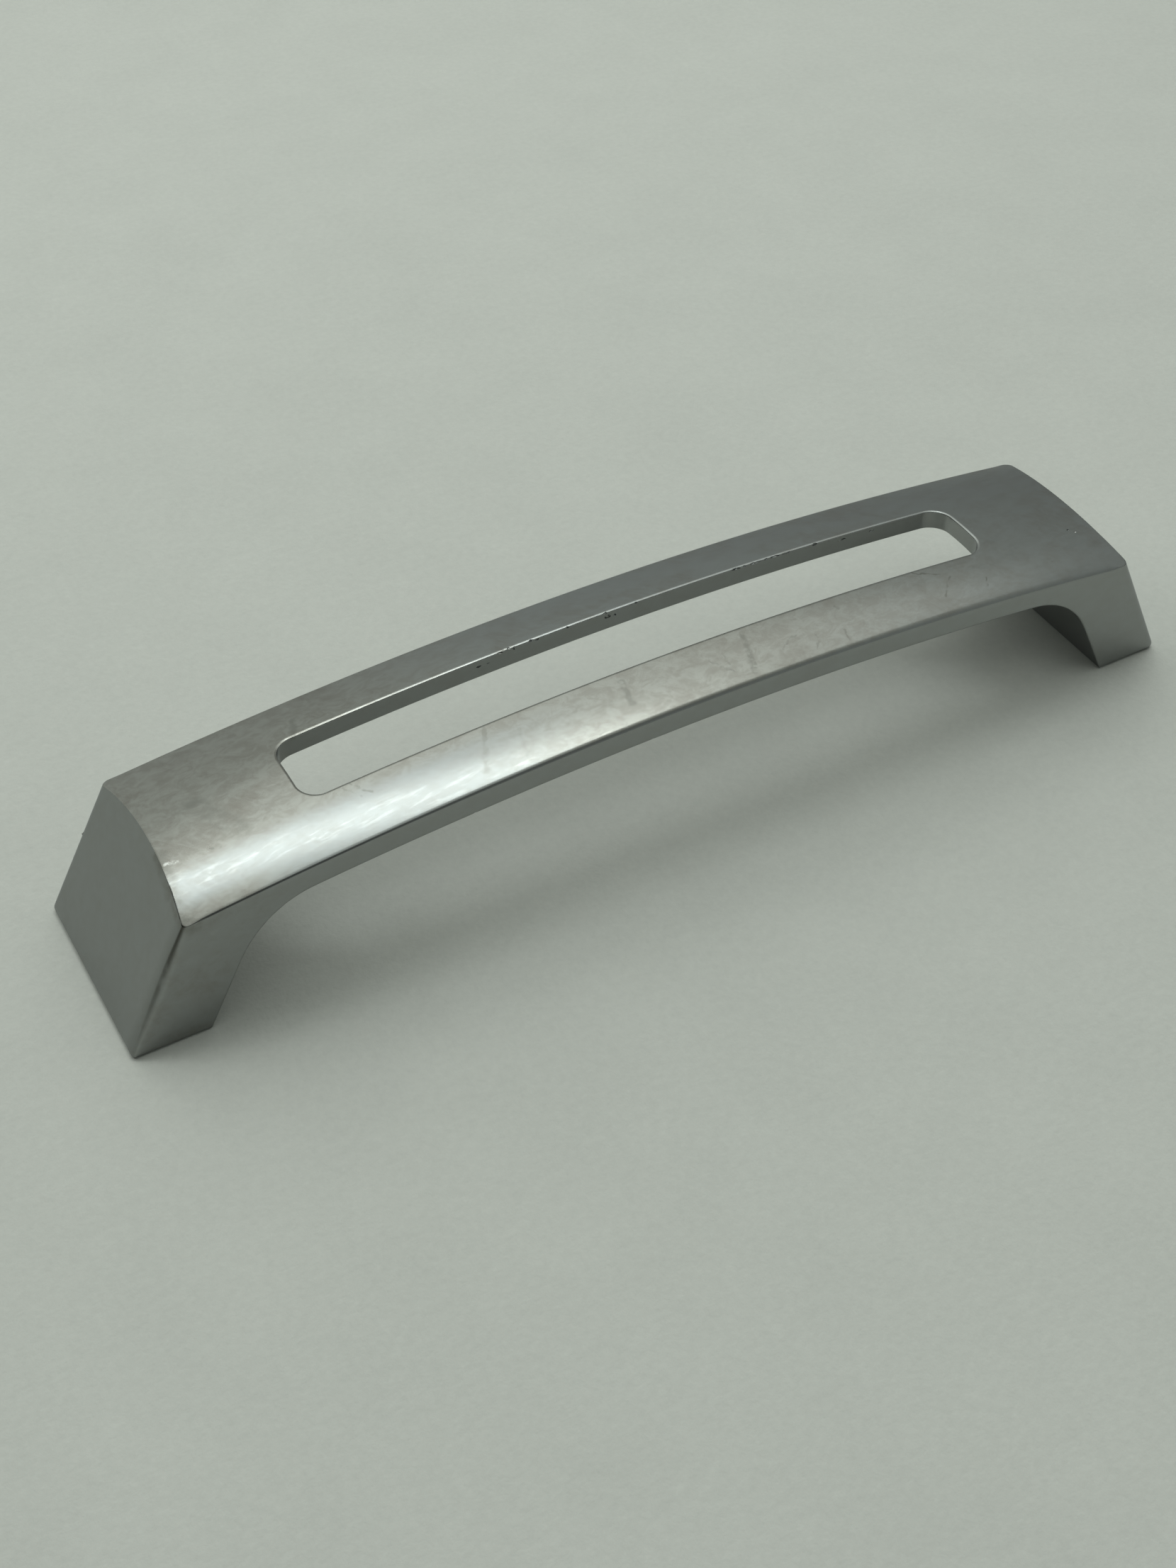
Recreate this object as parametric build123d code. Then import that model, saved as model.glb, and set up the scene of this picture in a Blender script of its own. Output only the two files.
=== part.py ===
from build123d import *
from math import asin, degrees, radians, sqrt, tan
import os

# A bow handle for a cabinet door or drawer, cast in one piece. Lengths are millimetres, angles degrees.
# X runs along the handle, -Y is the side towards the viewer, and the feet stand on Z = 0 with the
# origin midway between the two fixing holes.

# Fixing holes, tapped M4 from the feet: the radius is that of the wall the thread is cut in
hole_spacing = 128.0
hole_radius = 1.65
hole_depth = 7.5
drill_point_angle = 118.0
hole_mouth_chamfer = 0.35

# Feet, measured along the handle from the hole's centre to the sharp edges on the mounting face
foot_outer_reach = 6.5
foot_inner_reach = 2.85
base_width = 25.3

# Lean of the end faces, of the inside of the legs and of the long sides, from the vertical
end_lean = 26.65
leg_lean = 27.3
side_draft = 2.25

# Arched bar: its long edges at mid-length, and how much its middle stands above them
bar_edge_height = 20.6
bar_edge_thickness = 3.0
arch_radius = 465.0
crown_rise = 1.87
under_crown_rise = 2.4
leg_fillet = 10.2

# Slot through the bar, set back from the holes' centres
slot_setback = 18.95
slot_width = 9.5
slot_corner_radius = 2.5

# Rounded edges
corner_round = 1.0
top_edge_round = 0.5
foot_edge_round = 0.6
slot_rim_round = 0.35

# How far the cutting shapes run past the metal
overrun = 5.0

# Sizes that follow from the ones above
overall_length = hole_spacing + 2 * foot_outer_reach
opening_length = hole_spacing - 2 * foot_inner_reach
slot_length = hole_spacing - 2 * slot_setback
under_edge_height = bar_edge_height - bar_edge_thickness
crest_height = bar_edge_height + crown_rise
tool_width = base_width + 2 * overrun


def half_width(height):
    """Half the handle's width at a height, between the drafted sides."""
    return base_width / 2 - height * tan(radians(side_draft))


def crowned_ring(edge_height, rise, radius):
    """Sector of a ring under an arch that is crowned across its width.

    The arch has the given radius along its long edges, which are at edge_height at mid-length.
    The crown is an arc from one edge to the other, and stands above them by the rise.
    """
    half_chord = half_width(edge_height)
    crown_radius = (half_chord**2 + rise**2) / (2 * rise)
    crown_centre = edge_height + rise - crown_radius
    reach = tool_width / 2
    shoulder = crown_centre + sqrt(crown_radius**2 - reach**2)
    sides = Polyline((reach, shoulder), (reach, -overrun), (-reach, -overrun), (-reach, shoulder))
    crown = ThreePointArc((-reach, shoulder), (0, edge_height + rise), (reach, shoulder))
    section = Plane.YZ * make_face([sides, crown])
    axis = Axis((0, 0, edge_height - radius), (0, 1, 0))
    shortest_arm = radius - edge_height - overrun
    half_sweep = degrees(asin((overall_length / 2 + overrun) / shortest_arm))
    return revolve(section, axis, 2 * half_sweep).rotate(axis, -half_sweep)


def prism_from_side(half_base, lean, bottom, top):
    """Side view with both ends leaning in from half_base on the mounting face, run through the width."""
    slope = tan(radians(lean))
    half_bottom = half_base - bottom * slope
    half_top = half_base - top * slope
    corners = [(-half_bottom, bottom), (half_bottom, bottom), (half_top, top), (-half_top, top)]
    return extrude(Plane.XZ * Polygon(*corners, align=None), tool_width / 2, both=True)


def prism_from_end():
    """End view, narrower at the top by the draft of the sides, run through the length."""
    top = crest_height + overrun
    wide, narrow = half_width(0), half_width(top)
    corners = [(-wide, 0), (wide, 0), (narrow, top), (-narrow, top)]
    return extrude(Plane.YZ * Polygon(*corners, align=None), overall_length / 2 + overrun, both=True)


def outer_form():
    """Outside of the casting, with its four upright corners and the edge of its top rounded."""
    ends = prism_from_side(overall_length / 2, end_lean, 0, crest_height + overrun)
    form = ends & prism_from_end() & crowned_ring(bar_edge_height, crown_rise, arch_radius)
    upright_corners = form.edges().filter_by(GeomType.LINE).group_by(Axis.Z)[-1]
    form = fillet(upright_corners, corner_round)
    top_face = form.faces().sort_by(Axis.Z)[-1]
    return fillet(top_face.edges(), top_edge_round)


def opening_core():
    """The space under the bar: leaning inner faces of the legs, run into the crowned underside."""
    between_legs = prism_from_side(opening_length / 2, leg_lean, -overrun, crest_height)
    under_radius = arch_radius - bar_edge_thickness
    core = between_legs & crowned_ring(under_edge_height, under_crown_rise, under_radius)
    roof_edges = core.faces().sort_by(Axis.Z)[-1].edges().sort_by(Axis.X)
    return fillet([roof_edges[0], roof_edges[-1]], leg_fillet)


def slot_block():
    """The slot as a block with square corners, up through the bar."""
    return extrude(Rectangle(slot_length, slot_width), crest_height + overrun)


def round_slot(handle):
    """Rounds the slot's corners in plan, then its rim on the top of the bar."""
    upright = handle.edges().filter_by(Axis.Z)
    handle = fillet(upright, slot_corner_radius)
    top_face = handle.faces().sort_by(Axis.Z)[-1]
    rim = top_face.inner_wires()[0]
    return fillet(rim.edges(), slot_rim_round)


def round_feet(handle):
    """Rounds the outline of both soles."""
    soles = handle.faces().group_by(Axis.Z)[0]
    return fillet(soles.edges(), foot_edge_round)


def fixing_hole(x):
    """Blind hole for a screw from behind the door, with a chamfered mouth and a drill point."""
    point_depth = hole_radius / tan(radians(drill_point_angle / 2))
    outline = Polyline(
        (0, 0),
        (hole_radius + hole_mouth_chamfer, 0),
        (hole_radius, hole_mouth_chamfer),
        (hole_radius, hole_depth),
        (0, hole_depth + point_depth),
        close=True,
    )
    return Pos(x, 0, 0) * revolve(Plane.XZ * make_face(outline), Axis.Z)


def cabinet_handle():
    """The finished casting."""
    handle = outer_form() - (opening_core() + slot_block())
    handle = round_feet(round_slot(handle))
    return handle - fixing_hole(-hole_spacing / 2) - fixing_hole(hole_spacing / 2)


os.makedirs("parts", exist_ok=True)
export_step(cabinet_handle(), "parts/cabinet_handle.step")
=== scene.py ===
from math import cos, pi, radians, sin

import bpy
import numpy as np
from mathutils import Matrix, Vector


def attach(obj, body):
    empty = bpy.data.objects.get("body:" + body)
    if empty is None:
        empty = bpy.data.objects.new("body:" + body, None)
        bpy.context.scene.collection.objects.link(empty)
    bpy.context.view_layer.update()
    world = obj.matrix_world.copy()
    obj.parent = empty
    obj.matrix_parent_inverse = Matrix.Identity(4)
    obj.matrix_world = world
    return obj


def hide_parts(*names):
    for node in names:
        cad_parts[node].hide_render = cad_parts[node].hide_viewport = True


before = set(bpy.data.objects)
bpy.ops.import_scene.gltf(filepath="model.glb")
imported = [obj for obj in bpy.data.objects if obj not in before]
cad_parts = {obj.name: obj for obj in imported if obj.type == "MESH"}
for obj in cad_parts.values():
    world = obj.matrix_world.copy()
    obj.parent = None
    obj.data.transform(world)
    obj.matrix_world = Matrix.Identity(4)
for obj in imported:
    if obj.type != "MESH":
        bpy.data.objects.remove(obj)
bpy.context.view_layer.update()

MM = 0.001

# Driving sizes of the casting, in millimetres and degrees, the same as in the CAD
HOLE_SPACING = 128.0
HOLE_RADIUS = 1.65
HOLE_DEPTH = 7.5
DRILL_POINT = 118.0
FOOT_OUTER_REACH = 6.5
FOOT_INNER_REACH = 2.85
BASE_WIDTH = 25.3
END_LEAN = 26.65
LEG_LEAN = 27.3
SIDE_DRAFT = 2.25
BAR_EDGE_HEIGHT = 20.6
BAR_EDGE_THICKNESS = 3.0
ARCH_RADIUS = 465.0
CROWN_RISE = 1.87
UNDER_CROWN_RISE = 2.4
LEG_FILLET = 10.2
SLOT_SETBACK = 18.95
SLOT_WIDTH = 9.5
SLOT_CORNER = 2.5

# The front side, set so that its edge falls where the photo shows it. The cause of the difference from the
# draft above isn't known.
FRONT_HALF_BASE = 12.62
FRONT_DRAFT = 1.35

# Slope along the slot's rim, its width and angle
RIM_WIDTH = 0.285
RIM_SLOPE = 25.0

# How far the outside is set in, so that the model stays within the CAD box. The real handle has no such step.
INSET = 0.016

# Roundings of the edges. The upright corner at the front left is sharper at its foot and its tip, and the
# front edge of the top is sharper at its left end.
CORNER_ROUND = 1.0
SHARPER_AT_FOOT = 0.55
SHARPER_AT_TIP = 0.45
FRONT_TOP_ROUND = (0.5, 0.8)
REAR_TOP_ROUND = 0.3
END_TOP_ROUND = 0.1
OPENING_ROUND = 0.2
RIM_ROUND = 0.08
SOLE_ROUND = 0.6
LEFT_TOE_ROUND = 0.8
RIGHT_TOE_ROUND = 0.25

HALF_LENGTH = HOLE_SPACING / 2 + FOOT_OUTER_REACH
HALF_OPENING = HOLE_SPACING / 2 - FOOT_INNER_REACH
HALF_SLOT = HOLE_SPACING / 2 - SLOT_SETBACK
UNDER_EDGE_HEIGHT = BAR_EDGE_HEIGHT - BAR_EDGE_THICKNESS
UNDER_RADIUS = ARCH_RADIUS - BAR_EDGE_THICKNESS


# Surfaces of the casting. Each gives, for a set of points, the distance out of the surface and its normal.

def smooth(value, low, high):
    """Rises softly from 0 at low to 1 at high."""
    t = np.clip((value - low) / (high - low), 0, 1)
    return t * t * (3 - 2 * t)


def leaning_pair(points, axis, half_base, lean):
    """Two flat faces opposite each other, half_base out at the base, that lean in towards the top."""
    outward, upward = np.cos(np.radians(lean)), np.sin(np.radians(lean))
    distance = (abs(points[:, axis]) - half_base) * outward + points[:, 2] * upward
    normal = np.zeros_like(points)
    normal[:, axis] = np.where(points[:, axis] < 0, -outward, outward)
    normal[:, 2] = upward
    return distance, normal


def half_width(height, half_base=BASE_WIDTH / 2, draft=SIDE_DRAFT):
    return half_base - height * np.tan(radians(draft))


def crown(edge_height, rise, radius):
    """Radius of the crown's arc across the handle, and of the ring that its centre runs along."""
    half_chord = half_width(edge_height)
    crown_radius = (half_chord**2 + rise**2) / (2 * rise)
    return crown_radius, radius + rise - crown_radius


def crowned_arch(points, edge_height, rise, radius):
    """Arch along the handle, crowned across it."""
    crown_radius, ring_radius = crown(edge_height, rise, radius)
    up = points[:, 2] - (edge_height - radius)
    arm = np.hypot(points[:, 0], up)
    beyond_ring = arm - ring_radius
    reach = np.hypot(beyond_ring, points[:, 1])
    normal = np.stack([
        beyond_ring * points[:, 0] / arm,
        points[:, 1],
        beyond_ring * up / arm,
    ], axis=1) / reach[:, None]
    return reach - crown_radius, normal


def arch_height(x, y, edge_height, rise, radius):
    """Height of a crowned arch over a place in plan."""
    crown_radius, ring_radius = crown(edge_height, rise, radius)
    arm = ring_radius + np.sqrt(crown_radius**2 - y**2)
    return edge_height - radius + np.sqrt(arm**2 - x**2)


def outside(shape):
    """The space around a shape."""
    return -shape[0], -shape[1]


def rounded_edge(first, second, radius):
    """Common part of two shapes, with the edge between them rounded to a radius."""
    (a, normal_a), (b, normal_b) = first, second
    share = np.clip((normal_a * normal_b).sum(1), -0.99, 0.99)
    from_a = ((a + radius) - share * (b + radius)) / (1 - share**2)
    from_b = ((b + radius) - share * (a + radius)) / (1 - share**2)
    arm = from_a[:, None] * normal_a + from_b[:, None] * normal_b
    length = np.maximum(np.linalg.norm(arm, axis=1), 1e-9)
    on_round = (from_a > 0) & (from_b > 0)
    distance = np.where(on_round, length - radius, np.maximum(a, b))
    flat_normal = np.where((a > b)[:, None], normal_a, normal_b)
    normal = np.where(on_round[:, None], arm / length[:, None], flat_normal)
    return distance, normal


def rolled_rim(top, wall):
    """The narrow slope along the slot's rim, between the top and the slot's wall."""
    (to_top, normal_top), (to_wall, normal_wall) = top, wall
    slope = radians(RIM_SLOPE)
    distance = to_top * np.cos(slope) + (to_wall + RIM_WIDTH) * np.sin(slope)
    return distance, normal_top * np.cos(slope) + normal_wall * np.sin(slope)


def casting_surface(points):
    """Distance out of the finished casting, and the way out of it."""
    x, y, z = points.T
    front, left = y < 0, x < 0
    sharper = SHARPER_AT_FOOT * smooth(-z, -9.0, 0.0) + SHARPER_AT_TIP * smooth(z, 11.0, 17.5)
    corner_round = CORNER_ROUND - sharper * (front & left)
    to_end = abs(x) + z * np.tan(radians(END_LEAN)) - HALF_LENGTH
    at_left, at_middle = FRONT_TOP_ROUND
    front_round = at_left + (at_middle - at_left) * smooth(x, -45.0, 0.0)
    side_top_round = np.where(front, front_round, REAR_TOP_ROUND)
    top_round = side_top_round + (END_TOP_ROUND - side_top_round) * smooth(to_end, -2.5, -0.8)
    toe_round = np.where(left, LEFT_TOE_ROUND, RIGHT_TOE_ROUND)
    on_toe = smooth(HALF_OPENING + 1.6 - abs(x), 0.0, 0.7) * smooth(BASE_WIDTH / 2 - abs(y), 0.4, 0.8)
    sole_round = SOLE_ROUND + (toe_round - SOLE_ROUND) * on_toe

    ends = leaning_pair(points, 0, HALF_LENGTH, END_LEAN)
    half_base = np.where(front, FRONT_HALF_BASE, BASE_WIDTH / 2)
    sides = leaning_pair(points, 1, half_base, np.where(front, FRONT_DRAFT, SIDE_DRAFT))
    top = crowned_arch(points, BAR_EDGE_HEIGHT, CROWN_RISE, ARCH_RADIUS)
    legs = leaning_pair(points, 0, HALF_OPENING, LEG_LEAN)
    roof = crowned_arch(points, UNDER_EDGE_HEIGHT, UNDER_CROWN_RISE, UNDER_RADIUS)
    slot_ends = leaning_pair(points, 0, HALF_SLOT, 0)
    slot_sides = leaning_pair(points, 1, SLOT_WIDTH / 2, 0)
    sole = (-z, np.tile((0.0, 0.0, -1.0), (len(points), 1)))

    form = rounded_edge(ends, sides, corner_round)
    form = rounded_edge(form, top, top_round)
    form = form[0] + INSET, form[1]
    form = rounded_edge(form, outside(rounded_edge(legs, roof, LEG_FILLET)), OPENING_ROUND)
    wall = outside(rounded_edge(slot_ends, slot_sides, SLOT_CORNER))
    form = rounded_edge(form, rolled_rim(top, wall), RIM_ROUND)
    form = rounded_edge(form, wall, RIM_ROUND)
    return rounded_edge(form, sole, sole_round)


# The sheet of quads that is wrapped round the casting

# How the rows and columns close up on an edge, and how far from an upright corner they start to
EDGE_STEPS = np.array([0.1, 0.22, 0.36, 0.52, 0.72, 1.0])
CORNER_REACH = 1.5


def rows_between(start, end, middle, from_start=0.0, to_end=0.0):
    """Points from after start up to end, closer together within reach of an edge at either of them."""
    length = np.maximum(np.linalg.norm(end - start, axis=1), 1e-6)
    near = np.minimum(from_start / length, 0.45)
    far = 1 - np.minimum(to_end / length, 0.45)
    fractions = [near * step for step in EDGE_STEPS if from_start]
    fractions += [near + (far - near) * step / (middle + 1) for step in range(1, middle + 1)]
    fractions += [1 - (1 - far) * step for step in EDGE_STEPS[::-1] if to_end]
    fractions.append(np.ones_like(length))
    return [start + (end - start) * share[:, None] for share in fractions]


def opening_fillet():
    """Centre of the fillet between leg and bar at the side of the handle, and its start and end angles."""
    lean = radians(LEG_LEAN)
    arch_centre = np.array([0.0, UNDER_EDGE_HEIGHT - UNDER_RADIUS])
    inward = np.array([-np.cos(lean), -np.sin(lean)])
    upward = np.array([-np.sin(lean), np.cos(lean)])
    base = np.array([HALF_OPENING, 0.0]) + inward * LEG_FILLET
    offset = base - arch_centre
    along = offset @ upward
    climb = -along + np.sqrt(along**2 - offset @ offset + (UNDER_RADIUS - LEG_FILLET) ** 2)
    centre = base + upward * climb
    to_arch = centre - arch_centre
    return centre, np.arctan2(-inward[1], -inward[0]), np.arctan2(to_arch[1], to_arch[0])


def slot_outline(turn):
    """Place on a quarter of the slot's outline: turn 0 to 1 is its end, to 2 its corner, to 3 its side."""
    angle = np.clip(turn - 1, 0, 1) * np.pi / 2
    x = (HALF_SLOT - SLOT_CORNER) * (1 - np.clip(turn - 2, 0, 1)) + SLOT_CORNER * np.cos(angle) * (turn < 2)
    y = (SLOT_WIDTH / 2 - SLOT_CORNER) * np.clip(turn, 0, 1) + SLOT_CORNER * np.sin(angle)
    return x, y


def quarter_columns():
    """Key points of the columns of quads over a quarter of the casting, from mid-end round to mid-side.

    Each column starts halfway up the slot's wall and goes over the rim, the top edge, the bottom edge
    and the inner edge of the sole or opening, and back under the bar to the wall.
    """
    near_corner = EDGE_STEPS[::-1] * CORNER_REACH
    fillet, leg_angle, arch_angle = opening_fillet()
    start = fillet + LEG_FILLET * np.array([np.cos(leg_angle), np.sin(leg_angle)])
    finish = fillet + LEG_FILLET * np.array([np.cos(arch_angle), np.sin(arch_angle)])
    columns = []

    def column(turn, top, base, inner):
        columns.append([turn, *top, *base, *inner])

    wide = half_width(BAR_EDGE_HEIGHT)
    half_base = BASE_WIDTH / 2
    top_corner = HALF_LENGTH - BAR_EDGE_HEIGHT * 0.8 * np.tan(radians(END_LEAN))
    # Over the end of the handle
    for share in np.linspace(0, 1, 10)[:-1]:
        base = (HALF_LENGTH, share * (half_base - CORNER_REACH), 0)
        column(share * 0.9, (-1, share * (wide - CORNER_REACH)), base, (HALF_OPENING, share * 8.0, 0))
    # Round the upright corner
    for back in near_corner:
        share = (CORNER_REACH - back) / CORNER_REACH
        inner = (HALF_OPENING, 8.0 + share, 0)
        column(0.9 + 0.2 * share, (-1, wide - back), (HALF_LENGTH, half_base - back, 0), inner)
    column(1.15, (-1, wide), (HALF_LENGTH, half_base, 0), (HALF_OPENING, 9.2, 0))
    for back in near_corner[::-1]:
        share = back / CORNER_REACH
        inner = (HALF_OPENING, 9.2 + share, 0)
        column(1.15 + 0.15 * share, (top_corner - back, -1), (HALF_LENGTH - back, half_base, 0), inner)
    # Along the side of the sole
    sole_side = HALF_LENGTH - CORNER_REACH - HALF_OPENING
    for share in (0.15, 0.3, 0.45, 0.6, 0.72, 0.82, 0.9, 0.96, 1.0):
        base = (HALF_LENGTH - CORNER_REACH - share * sole_side, half_base, 0)
        inner = (HALF_OPENING, 10.2 + share * (half_base - 10.2), 0)
        column(1.3 + 0.2 * share, (top_corner - CORNER_REACH - share * 2.5, -1), base, inner)
    # Up the inside of the leg
    toe = np.array([HALF_OPENING, 0.0])
    for share in np.linspace(0, 1, 10)[1:]:
        x, z = toe + share * (start - toe)
        edge = (x, half_width(z), z)
        column(1.5 + 0.2 * share, (top_corner - 4.0 - share * 3.5, -1), edge, edge)
    # Round the fillet
    for share in np.linspace(0, 1, 15)[1:]:
        angle = leg_angle + share * (arch_angle - leg_angle)
        x, z = fillet + LEG_FILLET * np.array([np.cos(angle), np.sin(angle)])
        top_x = top_corner - 7.5 + share * (finish[0] - top_corner + 7.5)
        edge = (x, half_width(z), z)
        column(1.7 + 0.3 * share, (top_x, -1), edge, edge)
    # Along the bar
    for share in np.linspace(0, 1, 61)[1:]:
        x = finish[0] * (1 - share)
        z = UNDER_EDGE_HEIGHT - UNDER_RADIUS + np.sqrt(UNDER_RADIUS**2 - x**2)
        edge = (x, half_width(z), z)
        column(2.0 + share, (x, -1), edge, edge)
    return np.array(columns)


def key_points():
    """The key points of all columns: wall, rim, top edge, bottom edge, inner edge and under rim."""
    quarter = quarter_columns()
    turn, top_x, top_y = quarter[:, :3].T
    rim_x, rim_y = slot_outline(turn)
    on_end = top_x < 0
    for _ in range(6):
        z = arch_height(top_x, top_y, BAR_EDGE_HEIGHT, CROWN_RISE, ARCH_RADIUS)
        top_x = np.where(on_end, HALF_LENGTH - z * np.tan(radians(END_LEAN)), top_x)
        top_y = np.where(on_end, top_y, half_width(z))
    over = arch_height(rim_x, rim_y, BAR_EDGE_HEIGHT, CROWN_RISE, ARCH_RADIUS)
    under = arch_height(rim_x, rim_y, UNDER_EDGE_HEIGHT, UNDER_CROWN_RISE, UNDER_RADIUS)
    keys = [
        np.stack([rim_x, rim_y, (over + under) / 2], 1),
        np.stack([rim_x, rim_y, over], 1),
        np.stack([top_x, top_y, z], 1),
        quarter[:, 3:6],
        quarter[:, 6:9],
        np.stack([rim_x, rim_y, under], 1),
    ]
    whole = []
    for number, key in enumerate(keys):
        in_front = key * (1, -1, 1)
        if 2 <= number <= 4:
            in_front[:, 1] *= half_width(key[:, 2], FRONT_HALF_BASE, FRONT_DRAFT) / half_width(key[:, 2])
        parts = [
            key,
            key[-2::-1] * (-1, 1, 1),
            in_front[1:] * (-1, 1, 1),
            in_front[-2::-1],
        ]
        whole.append(np.concatenate(parts))
    return whole


def settle(points):
    """Moves points along the surface's normals until they lie on the casting."""
    for _ in range(12):
        distance, normal = casting_surface(points)
        points = points - distance[:, None] * normal
    return points


def wrapped_sheet():
    """Rows and columns of points over the whole casting."""
    wall, rim, top_edge, bottom_edge, inner_edge, under_rim = key_points()
    rows = [wall]
    rows += rows_between(wall, rim, 1, to_end=0.35)
    rows += rows_between(rim, top_edge, 16, from_start=0.45, to_end=1.0)
    rows += rows_between(top_edge, bottom_edge, 12, from_start=1.0, to_end=1.2)
    rows += rows_between(bottom_edge, inner_edge, 3, from_start=1.2, to_end=0.9)
    rows += rows_between(inner_edge, under_rim, 22, from_start=0.9, to_end=0.4)
    rows += rows_between(under_rim, wall, 1, from_start=0.4)
    rows = np.array(rows)
    return settle(rows.reshape(-1, 3)).reshape(rows.shape)


def object_from_sheet(name, rows):
    """A grid wrapped so that its vertices are the given rows of points, with its seams merged."""
    bpy.ops.object.select_all(action="DESELECT")
    count, width = rows.shape[:2]
    bpy.ops.mesh.primitive_grid_add(x_subdivisions=width - 1, y_subdivisions=count - 1, size=1)
    piece = bpy.context.active_object
    piece.name = piece.data.name = name
    piece.data.vertices.foreach_set("co", (rows * MM).ravel())
    bpy.ops.object.mode_set(mode="EDIT")
    bpy.ops.mesh.select_all(action="SELECT")
    bpy.ops.mesh.remove_doubles(threshold=0.002 * MM)
    bpy.ops.mesh.normals_make_consistent(inside=False)
    bpy.ops.object.mode_set(mode="OBJECT")
    return piece


# Screw holes, tapped M4 from the soles

THREAD_PITCH = 0.7
THREAD_OUTER_RADIUS = 2.0
HOLE_MOUTH_RADIUS = 2.05


def thread_radius(height, angle):
    """Radius of a tapped hole's wall: a blunt V that climbs one pitch a turn."""
    phase = (height / THREAD_PITCH - angle / (2 * np.pi)) % 1.0
    ridge = np.clip(1.3 - 3.0 * abs(phase - 0.5), 0, 1)
    radius = HOLE_RADIUS + (THREAD_OUTER_RADIUS - HOLE_RADIUS) * ridge
    fading = smooth(height, HOLE_DEPTH - 0.9, HOLE_DEPTH - 0.2)
    return radius + (HOLE_RADIUS - radius) * fading


def screw_hole_tool(x):
    """The space inside a tapped hole, from just under the sole to the drill's point."""
    angles = np.linspace(0, 2 * np.pi, 41)
    tip = HOLE_DEPTH + HOLE_RADIUS / np.tan(radians(DRILL_POINT / 2))
    rows = []
    for height in np.concatenate([[-0.5], np.linspace(-0.5, HOLE_DEPTH, 104), [tip]]):
        radius = np.maximum(thread_radius(height, angles), HOLE_MOUTH_RADIUS - max(height, 0.0))
        rows.append(np.stack([x + radius * np.cos(angles), radius * np.sin(angles), np.full(41, height)], 1))
    rows[0] = np.tile((x, 0.0, -0.5), (41, 1))
    rows[-1] = np.tile((x, 0.0, tip), (41, 1))
    return object_from_sheet("screw_hole_tool", np.array(rows))


# Wear that changes the shape. A nick on the slot's far wall has its place along the handle and its depth
# below the rim, and the others have a place. Then come the half sizes along, across and up, and the turn
# in plan.

RIM_Y = SLOT_WIDTH / 2
RIM_NICKS = [
    (-16.6, 0.20, (0.42, 0.20, 0.16), 8),
    (-16.1, 0.02, (0.20, 0.40, 0.10), -30),
    (-15.5, 0.08, (0.22, 0.30, 0.12), -20),
    (-14.8, 0.28, (0.24, 0.16, 0.26), 0),
    (-12.6, 0.14, (0.36, 0.22, 0.16), 15),
    (-11.9, 0.26, (0.26, 0.14, 0.18), 0),
    (-7.9, 0.16, (0.22, 0.18, 0.16), 0),
    (-2.6, 0.75, (0.44, 0.20, 0.28), 0),
    (-1.6, 0.85, (0.22, 0.16, 0.18), 10),
    (-2.9, 0.14, (0.36, 0.20, 0.14), 0),
    (1.2, 0.16, (0.22, 0.16, 0.16), 0),
    (26.3, 0.18, (0.42, 0.18, 0.20), 0),
    (-19.4, 0.98, (0.42, 0.15, 0.14), 0),
    (-18.2, 1.02, (0.22, 0.14, 0.11), 0),
    (30.4, 0.72, (0.60, 0.16, 0.14), 0),
    (34.8, 0.66, (0.42, 0.15, 0.13), 0),
]
NICKS = [
    ((57.8, -5.1, 18.5), (0.20, 0.17, 0.12), 30),
    ((58.6, -5.7, 18.35), (0.22, 0.17, 0.11), -10),
    ((-28.7, -12.22, 16.75), (0.22, 0.18, 0.20), 0),
    ((-6.5, -12.23, 17.6), (0.30, 0.20, 0.18), 0),
    ((-59.1, -12.33, 14.4), (0.55, 0.10, 0.12), 0),
]
RAGGED_RIM = (14.6, 22.8)
RAGGED_NICKS = 10
BURR = ((-65.12, 11.86, 9.95), (0.22, 0.22, 0.28))
WEAR_SEED = 7


def pebble(place, size, turn, rng):
    """A small uneven pebble, for a nick or a burr."""
    bpy.ops.object.select_all(action="DESELECT")
    bpy.ops.mesh.primitive_ico_sphere_add(subdivisions=2, radius=MM)
    stone = bpy.context.active_object
    count = len(stone.data.vertices)
    points = np.empty(count * 3)
    stone.data.vertices.foreach_get("co", points)
    points = points.reshape(-1, 3) * size * rng.uniform(0.7, 1.2, (count, 1))
    stone.data.vertices.foreach_set("co", points.ravel())
    bpy.ops.object.mode_set(mode="EDIT")
    bpy.ops.mesh.select_all(action="SELECT")
    bpy.ops.transform.rotate(value=radians(turn), orient_axis="Z", center_override=(0, 0, 0))
    bpy.ops.transform.translate(value=Vector(place) * MM)
    bpy.ops.object.mode_set(mode="OBJECT")
    return stone


def nick_tools(rng):
    """A pebble for every nick, with a run of small ones along the ragged stretch of the rim."""
    on_rim = list(RIM_NICKS)
    for x in np.linspace(*RAGGED_RIM, RAGGED_NICKS):
        size = (rng.uniform(0.2, 0.6), rng.uniform(0.08, 0.17), rng.uniform(0.1, 0.16))
        on_rim.append((x + rng.uniform(-0.3, 0.3), 0.17, size, rng.uniform(-12, 12)))
    tools = [pebble(*nick, rng) for nick in NICKS]
    for x, depth, size, turn in on_rim:
        top = arch_height(x, RIM_Y, BAR_EDGE_HEIGHT, CROWN_RISE, ARCH_RADIUS)
        tools.append(pebble((x, RIM_Y, top - depth), size, turn, rng))
    return tools


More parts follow.
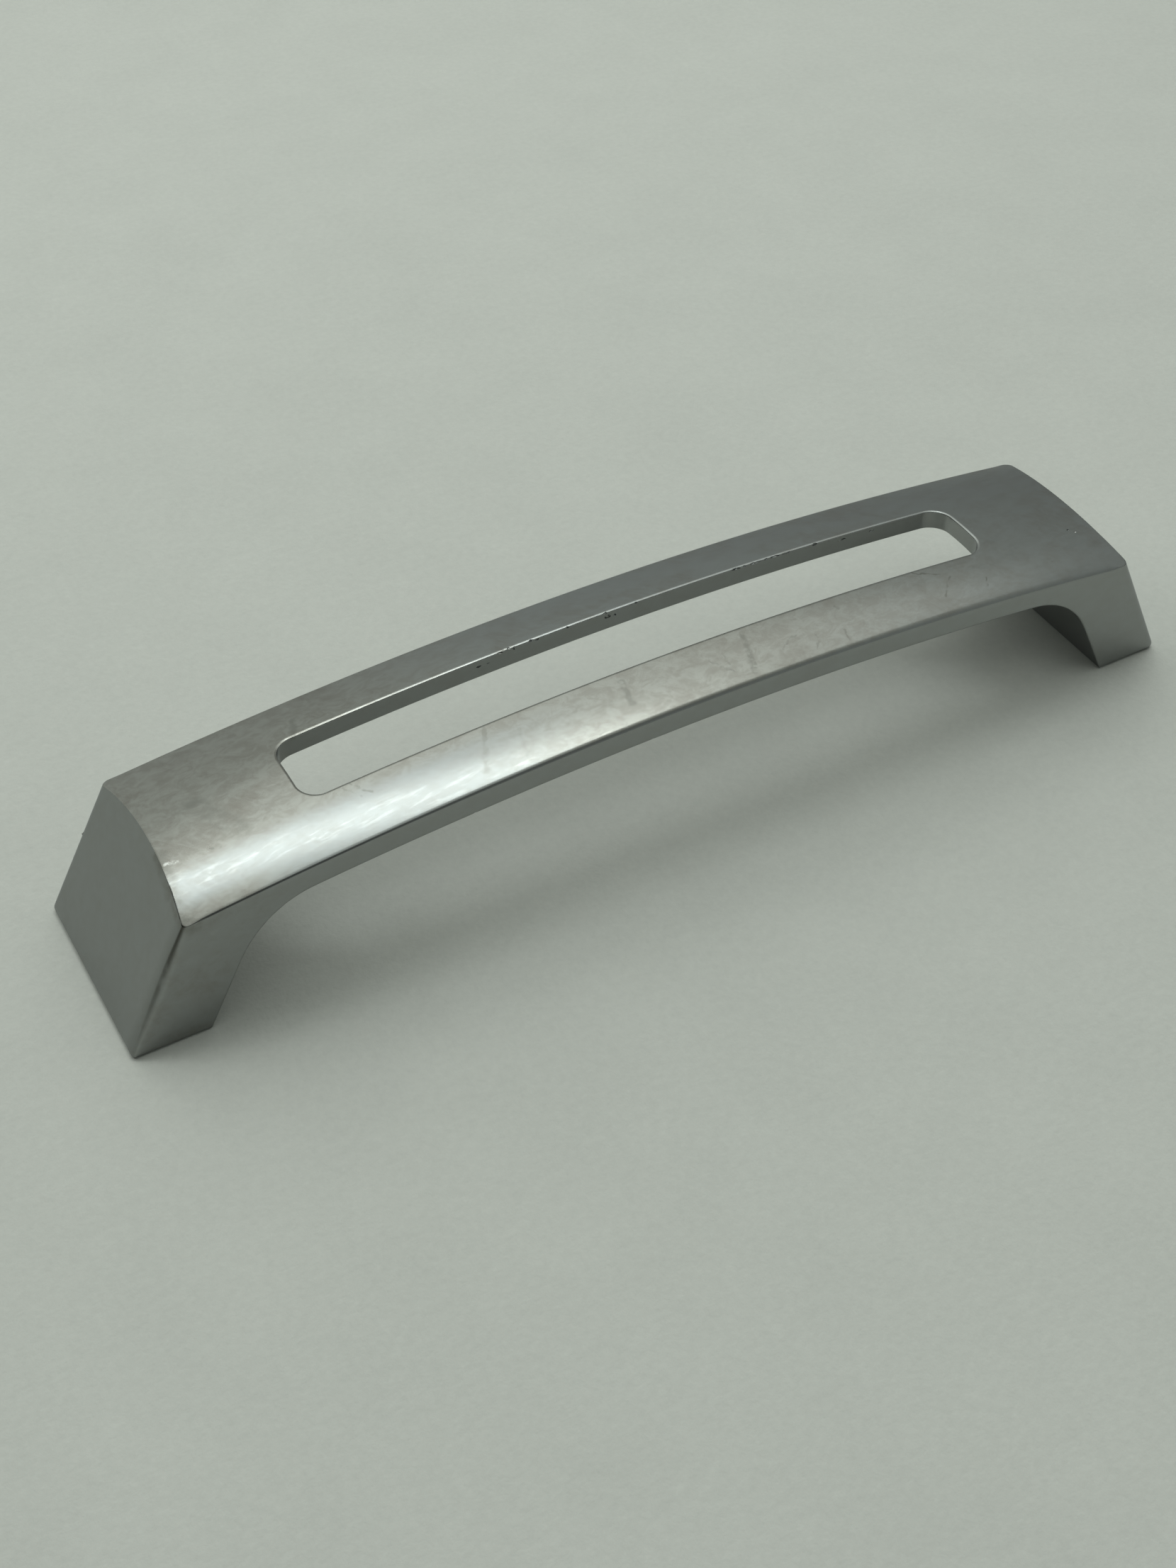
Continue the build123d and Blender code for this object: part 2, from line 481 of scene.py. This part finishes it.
def combine(piece, tools, operation):
    """Cuts the tools out of a piece or adds them to it, and removes them."""
    bpy.ops.object.select_all(action="DESELECT")
    for tool in tools:
        tool.select_set(True)
    bpy.context.view_layer.objects.active = tools[0]
    if len(tools) > 1:
        bpy.ops.object.join()
        bpy.ops.object.mode_set(mode="EDIT")
        bpy.ops.mesh.select_all(action="SELECT")
        bpy.ops.mesh.intersect_boolean(operation="UNION", use_self=True, solver="EXACT")
        bpy.ops.object.mode_set(mode="OBJECT")
    tool = bpy.context.active_object
    bpy.ops.object.select_all(action="DESELECT")
    piece.select_set(True)
    bpy.context.view_layer.objects.active = piece
    boolean = piece.modifiers.new("combine", "BOOLEAN")
    boolean.operation = operation
    boolean.solver = "EXACT"
    boolean.object = tool
    bpy.ops.object.modifier_apply(modifier=boolean.name)
    bpy.data.objects.remove(tool)


# Materials. A place is read in millimetres from the object's own coordinates.

def add_node(tree, kind, **settings):
    node = tree.nodes.new("ShaderNode" + kind)
    for name, value in settings.items():
        setattr(node, name, value)
    return node


def feed(tree, socket, value):
    """Links a socket to another node's output, or sets it to a plain value."""
    if isinstance(value, bpy.types.NodeSocket):
        tree.links.new(value, socket)
    else:
        socket.default_value = value


def calc(tree, operation, first, second=0.0):
    node = add_node(tree, "Math", operation=operation)
    feed(tree, node.inputs[0], first)
    feed(tree, node.inputs[1], second)
    return node.outputs["Value"]


def times(tree, first, *others):
    """Product of outputs and plain numbers."""
    for other in others:
        first = calc(tree, "MULTIPLY", first, other)
    return first


def rest_of(tree, share):
    """What a share leaves of the whole."""
    return calc(tree, "SUBTRACT", 1.0, share)


def axes_of(tree, vector):
    node = add_node(tree, "SeparateXYZ")
    feed(tree, node.inputs[0], vector)
    return node.outputs


def vector_calc(tree, operation, first, second, output="Vector"):
    node = add_node(tree, "VectorMath", operation=operation)
    feed(tree, node.inputs[0], first)
    feed(tree, node.inputs[1], second)
    return node.outputs[output]


def soft_step(tree, value, low, high):
    """Goes softly from 0 where the value is low to 1 where it is high."""
    node = add_node(tree, "MapRange", interpolation_type="SMOOTHSTEP")
    feed(tree, node.inputs["Value"], value)
    feed(tree, node.inputs["From Min"], low)
    feed(tree, node.inputs["From Max"], high)
    return node.outputs["Result"]


def cloud(tree, place, stretch, detail=4.0, roughness=0.55, distortion=0.0):
    """Noise about 0.5, with the given number of lumps a millimetre along each axis."""
    node = add_node(tree, "TexNoise")
    feed(tree, node.inputs["Vector"], vector_calc(tree, "MULTIPLY", place, stretch))
    node.inputs["Scale"].default_value = 1
    node.inputs["Detail"].default_value = detail
    node.inputs["Roughness"].default_value = roughness
    node.inputs["Distortion"].default_value = distortion
    return node.outputs["Fac"]


def mixed(tree, share, first, second):
    node = add_node(tree, "Mix", data_type="RGBA")
    feed(tree, node.inputs["Factor"], share)
    feed(tree, node.inputs["A"], first)
    feed(tree, node.inputs["B"], second)
    return node.outputs["Result"]


def turned(tree, place, angle):
    """The place in axes turned by an angle in plan."""
    node = add_node(tree, "VectorRotate", rotation_type="Z_AXIS")
    feed(tree, node.inputs["Vector"], place)
    node.inputs["Angle"].default_value = radians(angle)
    return node.outputs["Vector"]


def place_in_mm(tree):
    coordinates = add_node(tree, "TexCoord")
    return vector_calc(tree, "MULTIPLY", coordinates.outputs["Object"], (1000, 1000, 1000))


def wobbled(tree, place, lumps, amount):
    """The place shifted unevenly by up to about half the amount in millimetres, for a ragged edge."""
    noise = add_node(tree, "TexNoise")
    feed(tree, noise.inputs["Vector"], place)
    noise.inputs["Scale"].default_value = lumps
    noise.inputs["Detail"].default_value = 3
    shift = vector_calc(tree, "SUBTRACT", noise.outputs["Color"], (0.5, 0.5, 0.5))
    shift = vector_calc(tree, "MULTIPLY", shift, (amount, amount, amount))
    return vector_calc(tree, "ADD", place, shift)


def on_crown(x, y):
    return Vector((x, y, arch_height(x, y, BAR_EDGE_HEIGHT, CROWN_RISE, ARCH_RADIUS)))


def wiped_mark(tree, place, start, end, width, strength):
    """A soft-edged mark on the top of the bar, along the line from start to end in plan."""
    start, end = on_crown(*start), on_crown(*end)
    along = end - start
    from_start = vector_calc(tree, "SUBTRACT", place, start)
    reached = vector_calc(tree, "DOT_PRODUCT", from_start, along, "Value")
    clamped = add_node(tree, "Clamp")
    feed(tree, clamped.inputs["Value"], calc(tree, "DIVIDE", reached, along.length_squared))
    scale = add_node(tree, "VectorMath", operation="SCALE")
    scale.inputs[0].default_value = along
    feed(tree, scale.inputs["Scale"], clamped.outputs["Result"])
    gap = vector_calc(tree, "DISTANCE", from_start, scale.outputs["Vector"], "Value")
    return calc(tree, "MULTIPLY", soft_step(tree, gap, width, width * 0.25), strength)


def scratches(tree, place, cell, reach, width, share):
    """Thin, slightly bent scratches in plan, one to a cell in the given share of cells, each its own way."""
    flat = vector_calc(tree, "MULTIPLY", place, (1, 1, 0))
    cells = add_node(tree, "TexVoronoi", voronoi_dimensions="2D")
    feed(tree, cells.inputs["Vector"], flat)
    cells.inputs["Scale"].default_value = 1 / cell
    centre = vector_calc(tree, "MULTIPLY", cells.outputs["Position"], (cell, cell, 0))
    offset = vector_calc(tree, "SUBTRACT", flat, centre)
    chance = axes_of(tree, cells.outputs["Color"])
    turn = add_node(tree, "VectorRotate", rotation_type="Z_AXIS")
    feed(tree, turn.inputs["Vector"], offset)
    feed(tree, turn.inputs["Angle"], times(tree, chance[0], 2 * pi))
    local = axes_of(tree, turn.outputs["Vector"])
    bend = times(tree, local[0], local[0], 0.05)
    across = calc(tree, "ABSOLUTE", calc(tree, "SUBTRACT", local[1], bend))
    line = soft_step(tree, across, width, width * 0.3)
    ends = soft_step(tree, calc(tree, "ABSOLUTE", local[0]), reach, reach * 0.5)
    chosen = calc(tree, "LESS_THAN", chance[1], share)
    return times(tree, line, ends, chosen)


# Colours of the metal and of what is on it, and its roughness
METAL_ROUGHNESS = 0.255
CLEAN_METAL = (0.320, 0.332, 0.325, 1)
FILMED_METAL = (0.345, 0.342, 0.311, 1)
GRAZING_TINT = (0.80, 0.80, 0.82, 1)
SCRATCHED_METAL = (0.225, 0.222, 0.202, 1)
SMUDGED_METAL = (0.250, 0.236, 0.211, 1)
WIPED_METAL = (0.210, 0.206, 0.185, 1)
# Colour of the dark line along the front left upright corner
DARK_CORNER_LINE_COLOUR = (0.06, 0.057, 0.048, 1)
RUBBED_METAL = (0.62, 0.62, 0.59, 1)

# Marks on the top: where each starts and ends in plan, its half width and its strength
SMUDGES = [
    ((-24.0, -5.3), (-26.3, -10.4), 0.45, 0.45),
    ((-20.6, -7.0), (-21.4, -11.2), 0.35, 0.20),
    ((-7.2, -6.2), (-7.6, -9.3), 0.60, 0.65),
    ((9.0, -5.8), (8.3, -8.6), 0.50, 0.70),
    ((8.4, -8.2), (7.6, -10.9), 0.65, 0.75),
    ((-40.0, -5.2), (-38.4, -7.2), 0.22, 0.60),
    ((-41.0, -5.4), (-39.6, -7.0), 0.16, 0.50),
    ((-44.0, 1.0), (-41.0, 7.5), 0.60, 0.50),
]
CURLED_MARKS = [
    ((12.3, -9.5), (13.8, -8.5), 0.20, 0.55),
    ((13.8, -8.5), (15.4, -8.2), 0.18, 0.55),
    ((16.9, -9.2), (16.9, -10.0), 0.20, 0.60),
    ((16.9, -10.0), (16.1, -10.8), 0.22, 0.60),
    ((20.6, -9.7), (20.3, -11.2), 0.18, 0.60),
    ((21.6, -6.3), (21.9, -6.8), 0.28, 0.60),
    ((3.4, -7.7), (4.3, -9.0), 0.20, 0.55),
    ((4.3, -9.0), (5.6, -10.3), 0.24, 0.60),
    ((5.4, -7.8), (5.3, -9.2), 0.18, 0.50),
    ((33.7, -5.1), (36.9, -6.5), 0.18, 0.90),
    ((37.8, -7.2), (35.3, -9.5), 0.18, 0.80),
    ((42.2, -8.8), (41.4, -10.0), 0.20, 0.85),
    ((-56.2, -5.2), (-55.9, -5.3), 0.20, 0.70),
    ((-55.5, -5.6), (-55.3, -5.7), 0.16, 0.70),
]
# Stains at the left end. The first two, along the end's top edge and at the tip, are dirt there and also
# painted shade that darkens the tip's reflection.
STAINS_AND_TIP_SHADE = [
    ((-61.2, -3.5), (-61.9, -12.0), 1.40, 0.75),
    ((-61.8, -9.8), (-61.4, -12.2), 1.80, 0.80),
    ((-55.5, 1.2), (-52.6, -4.6), 1.80, 0.60),
]
SCRAPES = [
    ((-61.0, -4.65), (-59.6, -4.8), 0.26, 0.90),
]


def strongest(tree, masks):
    result = masks[0]
    for mask in masks[1:]:
        result = calc(tree, "MAXIMUM", result, mask)
    return result


def dark_corner_line(tree, place, facing):
    """A dark line along the front upright corner of the left foot, stronger towards the top, with a faint
    darkening of the end face beside it.
    """
    x, y, z = axes_of(tree, place)[:3]
    end_lean = times(tree, z, float(np.tan(radians(END_LEAN))))
    to_end = calc(tree, "SUBTRACT", calc(tree, "ADD", x, HALF_LENGTH), end_lean)
    side_lean = times(tree, z, float(np.tan(radians(FRONT_DRAFT))))
    to_side = calc(tree, "SUBTRACT", calc(tree, "ADD", y, FRONT_HALF_BASE), side_lean)
    gap = calc(tree, "ADD", to_end, to_side)
    end_share, side_share = facing[0], facing[1]
    from_end_face = soft_step(tree, side_share, -0.08, -0.45)
    to_side_face = soft_step(tree, side_share, -0.98, -0.60)
    on_corner = times(tree, from_end_face, to_side_face, soft_step(tree, end_share, -0.05, -0.25))
    uneven = soft_step(tree, cloud(tree, place, (0.5, 0.5, 0.35), 4.0), 0.1, 0.5)
    fading = calc(tree, "ADD", 0.3, times(tree, soft_step(tree, z, 1.0, 17.0), 0.7))
    line = times(tree, on_corner, soft_step(tree, gap, 2.0, 1.5), uneven, fading)
    darkened_beside = times(tree, soft_step(tree, end_share, -0.20, -0.60), soft_step(tree, gap, 2.4, 0.5), 0.25)
    return calc(tree, "MAXIMUM", line, darkened_beside)


def highlight_band(tree, along, across):
    """Where the highlight falls on the left half of the front rail, except by the tip. Smudges and film are
    kept off this strip, which paints it lighter: a painted highlight.
    """
    by_the_tip = times(tree, soft_step(tree, across, -9.5, -11.5), soft_step(tree, along, -48.0, -56.0))
    in_highlight = times(tree, soft_step(tree, across, -5.0, -7.5), rest_of(tree, by_the_tip))
    return times(tree, in_highlight, soft_step(tree, along, -8.0, -32.0))


def smudging(tree, place, along, facing, on_top, in_highlight):
    """Clouded finger marks, strongest at the left end of the top."""
    on_side = soft_step(tree, calc(tree, "ABSOLUTE", facing[1]), 0.6, 0.9)
    touched_side = times(tree, on_side, soft_step(tree, along, -10.0, -50.0), 0.45)
    touched = calc(tree, "ADD", touched_side, times(tree, on_top, 0.88))
    handled = calc(tree, "ADD", 0.55, times(tree, soft_step(tree, along, -25.0, -55.0), 0.45))
    # Fewer marks where the highlight falls, which paints the highlight lighter
    handled = times(tree, handled, calc(tree, "ADD", 0.12, touched), rest_of(tree, times(tree, in_highlight, 0.7)))
    patches = soft_step(tree, cloud(tree, place, (0.15, 0.22, 0.22), 8.0, 0.7, 0.5), 0.44, 0.64)
    fibres = cloud(tree, turned(tree, place, 52), (0.30, 1.1, 0.8), 6.0, 0.64, 0.8)
    return times(tree, patches, soft_step(tree, fibres, 0.2, 0.72), handled)


def filming(tree, along, across, on_top, in_highlight):
    """A yellowish film on the top, fading to the right. The rear rail has it only at its left end."""
    far_side = times(tree, soft_step(tree, across, -1.0, 6.0), soft_step(tree, along, -45.0, -8.0))
    film = times(tree, rest_of(tree, far_side), soft_step(tree, along, 60.0, 5.0))
    # No film where the highlight falls, which paints the highlight lighter
    return times(tree, film, rest_of(tree, in_highlight), on_top, 0.9)


def mottling(tree, place, film):
    """Small blotches, stronger where the film is."""
    blotches = soft_step(tree, cloud(tree, place, (0.50, 0.75, 0.75), 7.0, 0.72, 0.6), 0.40, 0.62)
    return times(tree, blotches, calc(tree, "ADD", 0.15, times(tree, film, 0.45)))


def wiped_marks(tree, place, ragged):
    """Single smudges, curled marks and stains. The stains at the left tip are partly painted shade over the
    tip's reflection.
    """
    broken = soft_step(tree, cloud(tree, place, (0.9, 0.9, 0.9), 5.0, 0.65), 0.32, 0.54)
    wiped = strongest(tree, [wiped_mark(tree, ragged, *mark) for mark in SMUDGES + CURLED_MARKS])
    # Stains, at the left tip partly painted shade over the reflection
    stained_and_shaded = strongest(tree, [wiped_mark(tree, wobbled(tree, place, 0.7, 1.6), *mark) for mark in STAINS_AND_TIP_SHADE])
    speckled = soft_step(tree, cloud(tree, place, (0.4, 0.5, 0.5), 7.0, 0.7), 0.30, 0.62)
    return calc(tree, "MAXIMUM", times(tree, wiped, broken), times(tree, stained_and_shaded, speckled))


def fine_lines(tree, place):
    """Fine scratches in three sizes, spread on three grids that are turned against each other."""
    lines = strongest(tree, [
        scratches(tree, place, 7.0, 3.0, 0.10, 0.7),
        scratches(tree, turned(tree, place, 50), 4.6, 1.8, 0.09, 0.55),
        scratches(tree, turned(tree, place, 20), 15.0, 6.5, 0.11, 0.6),
    ])
    return times(tree, lines, soft_step(tree, cloud(tree, place, (0.35, 0.35, 0.35), 3.0), 0.36, 0.62))


def bare_scrapes(tree, place, ragged):
    scraped = strongest(tree, [wiped_mark(tree, ragged, *mark) for mark in SCRAPES])
    return times(tree, scraped, soft_step(tree, cloud(tree, place, (2.0, 2.0, 2.0), 3.0), 0.3, 0.6))


def add_relief(tree, shader, height):
    """Gives a shader fine relief, from a height in millimetres."""
    bump = add_node(tree, "Bump")
    bump.inputs["Strength"].default_value = 1
    bump.inputs["Distance"].default_value = MM
    feed(tree, bump.inputs["Height"], height)
    feed(tree, shader.inputs["Normal"], bump.outputs["Normal"])


def new_material(name):
    material = bpy.data.materials.new(name)
    material.use_nodes = True
    return material, material.node_tree, material.node_tree.nodes["Principled BSDF"]


def satin_metal():
    """Satin plating, clouded and wiped by fingers, with streaks along the bar and fine scratches."""
    material, tree, shader = new_material("satin_metal")
    place = place_in_mm(tree)
    along, across = axes_of(tree, place)[:2]
    facing = axes_of(tree, add_node(tree, "TexCoord").outputs["Normal"])
    on_top = soft_step(tree, facing[2], 0.55, 0.9)
    # Strip where the highlight falls, kept free of smudges and film: a painted highlight
    in_highlight = highlight_band(tree, along, across)
    ragged = wobbled(tree, place, 1.1, 0.9)

    smudge = smudging(tree, place, along, facing, on_top, in_highlight)
    film = filming(tree, along, across, on_top, in_highlight)
    lines = fine_lines(tree, place)
    scraped = bare_scrapes(tree, place, ragged)
    streaks = cloud(tree, turned(tree, place, -6), (0.20, 1.35, 1.35), 5.0, 0.62, 0.3)
    polished = times(tree, soft_step(tree, streaks, 0.50, 0.64), on_top)

    colour = mixed(tree, film, CLEAN_METAL, FILMED_METAL)
    colour = mixed(tree, smudge, colour, SMUDGED_METAL)
    colour = mixed(tree, mottling(tree, place, film), colour, SMUDGED_METAL)
    colour = mixed(tree, wiped_marks(tree, place, ragged), colour, WIPED_METAL)
    colour = mixed(tree, lines, colour, SCRATCHED_METAL)
    colour = mixed(tree, scraped, colour, RUBBED_METAL)
    # A dark line along the front left upright corner, and a faint darkening of the end face beside it
    colour = mixed(tree, times(tree, dark_corner_line(tree, place, facing), 0.9), colour, DARK_CORNER_LINE_COLOUR)
    feed(tree, shader.inputs["Base Color"], colour)

    roughness = calc(tree, "ADD", METAL_ROUGHNESS, times(tree, smudge, 0.03))
    roughness = calc(tree, "SUBTRACT", roughness, times(tree, polished, 0.045))
    roughness = calc(tree, "SUBTRACT", roughness, times(tree, scraped, 0.08))
    feed(tree, shader.inputs["Roughness"], roughness)
    shader.inputs["Metallic"].default_value = 1
    shader.inputs["Specular Tint"].default_value = GRAZING_TINT

    grain = times(tree, cloud(tree, place, (1.8, 1.8, 1.8), 2.0), 0.0003)
    at_left = times(tree, soft_step(tree, along, -38.0, -52.0), 0.0010)
    relief = calc(tree, "ADD", grain, times(tree, streaks, calc(tree, "ADD", 0.0007, at_left)))
    add_relief(tree, shader, calc(tree, "SUBTRACT", relief, times(tree, lines, 0.004)))
    return material


# Darkest and lightest of the paper's mottling
PAPER_DARK = (0.545, 0.550, 0.512, 1)
PAPER_LIGHT = (0.745, 0.750, 0.697, 1)


def pale_paper():
    """Matt paper with faint mottling and a fine grain."""
    material, tree, shader = new_material("pale_paper")
    place = place_in_mm(tree)
    mottle = cloud(tree, place, (0.06, 0.06, 0.06), 8.0, 0.7)
    grain = cloud(tree, place, (0.9, 0.9, 0.9), 4.0, 0.7)
    share = calc(tree, "ADD", times(tree, mottle, 0.45), times(tree, grain, 0.55))
    feed(tree, shader.inputs["Base Color"], mixed(tree, share, PAPER_DARK, PAPER_LIGHT))
    shader.inputs["Roughness"].default_value = 0.9
    add_relief(tree, shader, times(tree, cloud(tree, place, (1.6, 1.6, 1.6), 5.0), 0.06))
    return material


# The pieces, the camera and the light

SHARP_EDGE_ANGLE = 32
FLOOR_SIZE = 6
FLOOR_GAP = 0.02


def make_handle():
    rng = np.random.default_rng(WEAR_SEED)
    handle = object_from_sheet("handle_body", wrapped_sheet())
    holes = [screw_hole_tool(-HOLE_SPACING / 2), screw_hole_tool(HOLE_SPACING / 2)]
    combine(handle, [pebble(*BURR, 0, rng)], "UNION")
    combine(handle, holes + nick_tools(rng), "DIFFERENCE")
    bpy.ops.object.shade_smooth_by_angle(angle=radians(SHARP_EDGE_ANGLE))
    handle.data.materials.clear()
    handle.data.materials.append(satin_metal())
    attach(handle, "root")
    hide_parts("cabinet_handle")
    return handle


def make_floor():
    bpy.ops.object.select_all(action="DESELECT")
    bpy.ops.mesh.primitive_plane_add(size=FLOOR_SIZE, location=(0, 0, -FLOOR_GAP * MM))
    floor = bpy.context.active_object
    floor.name = "floor"
    floor.data.materials.append(pale_paper())


# The camera as solved from the photo: place in millimetres, turn in degrees
CAMERA_PLACE = (-99.15, -155.05, 175.46)
CAMERA_TURN = (45.878, -0.863, -29.736)
CAMERA_LENS = 47.95
SENSOR_HEIGHT = 36


def make_camera():
    data = bpy.data.cameras.new("camera")
    data.sensor_fit = "VERTICAL"
    data.sensor_height = SENSOR_HEIGHT
    data.lens = CAMERA_LENS
    data.clip_start = 0.01
    camera = bpy.data.objects.new("camera", data)
    bpy.context.scene.collection.objects.link(camera)
    camera.location = [length * MM for length in CAMERA_PLACE]
    camera.rotation_euler = [radians(angle) for angle in CAMERA_TURN]
    bpy.context.scene.camera = camera


# Brightness of the room by direction, and the dark part where the viewer stands
ROOM_BRIGHTNESS = 0.591
ROOM_RISE = 0.168
ROOM_FALL_RIGHT = 0.389
ROOM_FALL_LEFT = 0.62
ROOM_BRIGHT_X = -0.1
VIEWER_DIRECTION = (-0.61, -0.61, 0.51)
VIEWER_DARKNESS = 0.9
VIEWER_EDGE = (0.1, 0.8)
VIEWER_TOP = (0.93, 0.72)
ROOM_TINT = (0.92, 1.0, 0.945, 1)
STRIP_TINT = (0.93, 1.0, 0.99)
PANEL_TINT = (0.95, 1.0, 0.97)

# Lamps: direction and distance in metres, turn in plan, width, depth, radiance and tint. The last three light
# the paper and don't show in the metal.
LAMPS = [
    ("strip", (0.1, 0.208, 0.973), 1.2, -31.6, 0.76, 0.128, 4.85, STRIP_TINT),
    ("soft_panel", (0.279, 0.331, 0.901), 1.2, -42.5, 1.17, 0.68, 0.555, PANEL_TINT),
    ("back_light", (0.1, 0.7, 0.7), 0.35, 0, 0.5, 0.25, 0.41, PANEL_TINT),
    ("side_fill", (0.85, -0.4, 0.4), 0.8, 65, 0.5, 0.4, 0.16, PANEL_TINT),
    ("left_light", (-0.6, 0.35, 0.72), 1.0, 120, 0.5, 0.5, 1.6, PANEL_TINT),
]
REFLECTED_LAMPS = 2


def make_lamp(name, direction, distance, turn, width, depth, radiance, tint):
    """A soft lamp seen from the handle in a direction, with its long side turned in plan."""
    direction = Vector(direction).normalized()
    data = bpy.data.lights.new(name, "AREA")
    data.shape = "RECTANGLE"
    data.size = width
    data.size_y = depth
    data.energy = radiance * pi * width * depth
    data.color = tint
    lamp = bpy.data.objects.new(name, data)
    bpy.context.scene.collection.objects.link(lamp)
    lamp.location = direction * distance
    across = Vector((cos(radians(turn)), sin(radians(turn)), 0))
    across = (across - across.dot(direction) * direction).normalized()
    away = direction.cross(across)
    lamp.rotation_euler = Matrix((across, away, direction)).transposed().to_euler()
    return lamp


def make_room():
    """Plain surroundings, brightest overhead, and dark on the side that the handle is viewed from."""
    world = bpy.data.worlds.new("room")
    world.use_nodes = True
    tree = world.node_tree
    towards = add_node(tree, "TexCoord").outputs["Generated"]
    axes = axes_of(tree, towards)
    rise = times(tree, axes[2], ROOM_RISE)
    aside = calc(tree, "SUBTRACT", axes[0], ROOM_BRIGHT_X)
    fall_right = times(tree, aside, ROOM_FALL_RIGHT)
    fall_left = times(tree, aside, -ROOM_FALL_LEFT)
    brightness = calc(tree, "ADD", rise, ROOM_BRIGHTNESS)
    brightness = calc(tree, "SUBTRACT", brightness, calc(tree, "MAXIMUM", fall_right, fall_left))
    to_viewer = vector_calc(tree, "DOT_PRODUCT", towards, VIEWER_DIRECTION, "Value")
    below = soft_step(tree, axes[2], *VIEWER_TOP)
    darkness = times(tree, soft_step(tree, to_viewer, *VIEWER_EDGE), below, VIEWER_DARKNESS)
    brightness = times(tree, brightness, rest_of(tree, darkness))
    background = tree.nodes["Background"]
    background.inputs["Color"].default_value = ROOM_TINT
    feed(tree, background.inputs["Strength"], brightness)
    bpy.context.scene.world = world


def make_light():
    for number, lamp in enumerate(LAMPS):
        make_lamp(*lamp).visible_glossy = number < REFLECTED_LAMPS
    make_room()


make_handle()
make_floor()
make_light()
make_camera()
bpy.context.scene.view_settings.view_transform = "Standard"
